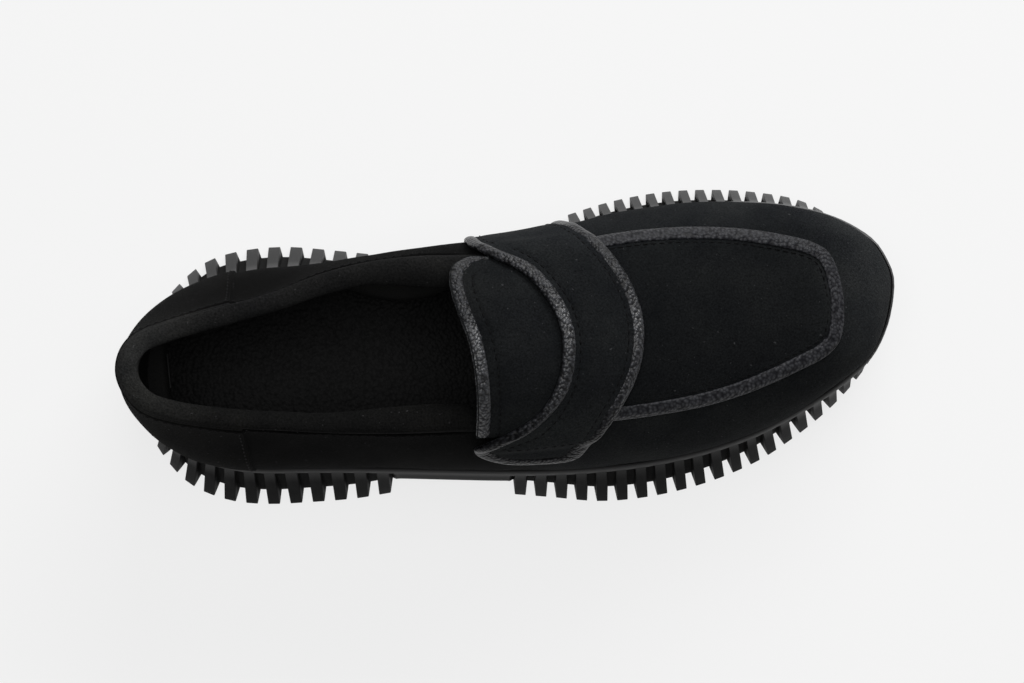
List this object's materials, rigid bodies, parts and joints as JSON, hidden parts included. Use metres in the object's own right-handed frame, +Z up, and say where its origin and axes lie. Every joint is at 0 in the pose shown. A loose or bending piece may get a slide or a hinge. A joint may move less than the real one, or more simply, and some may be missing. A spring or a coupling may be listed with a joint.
{
  "type": "strap loafer",
  "caption": "Suede loafer for the right foot with an apron seam, instep strap, leather piping and a chunky rubber sole with a comb of lugs.",
  "frame": {"origin": "on the floor under the middle of the shoe's bounding box", "axes": "+X to the toe, +Y to the inner (medial) side of the foot, +Z up"},
  "size_m": [0.2815, 0.114, 0.1039],
  "materials": {
    "rubber": "matte moulded rubber",
    "sock": "pebbled lining leather",
    "suede": "napped black suede",
    "piping": "pebbled dark grey leather"
  },
  "bodies": {
    "root": {"outsole": "rubber", "insole": "sock", "upper": "suede", "tongue": "suede", "strap": "suede", "apron_piping": "piping", "tongue_piping": "piping", "strap_piping": "piping"}
  },
  "joints": []
}
